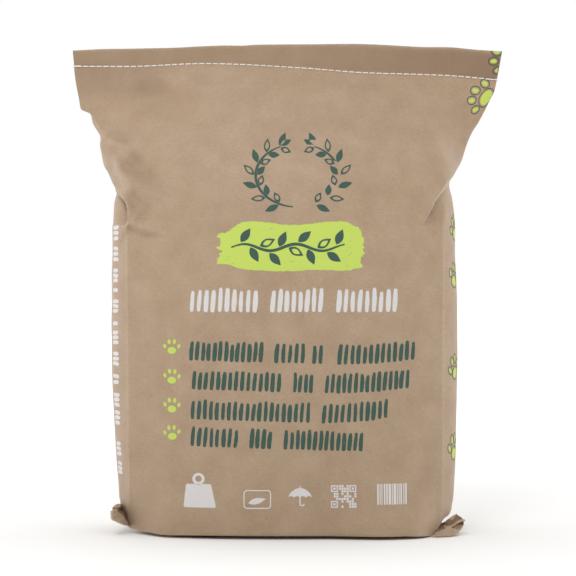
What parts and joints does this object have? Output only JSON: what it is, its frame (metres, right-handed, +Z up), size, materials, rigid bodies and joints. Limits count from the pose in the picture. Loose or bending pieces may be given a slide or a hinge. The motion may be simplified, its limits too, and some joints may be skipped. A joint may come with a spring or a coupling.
{
  "type": "cat litter bag",
  "caption": "Filled, free-standing gusseted kraft-paper sack with a flat top sewn shut in white chain stitch and folded ears at the bottom seam.",
  "frame": {"origin": "middle of the sack's box, at the floor it stands on", "axes": "+Z up, +X to the right of the printed front panel, front panel facing -Y"},
  "size_m": [0.4033, 0.164, 0.4563],
  "materials": {
    "kraft_paper": "uncoated brown kraft",
    "cotton_thread": "bleached twisted thread"
  },
  "bodies": {
    "root": {"sack": "kraft_paper", "top_thread": "cotton_thread"}
  },
  "joints": []
}
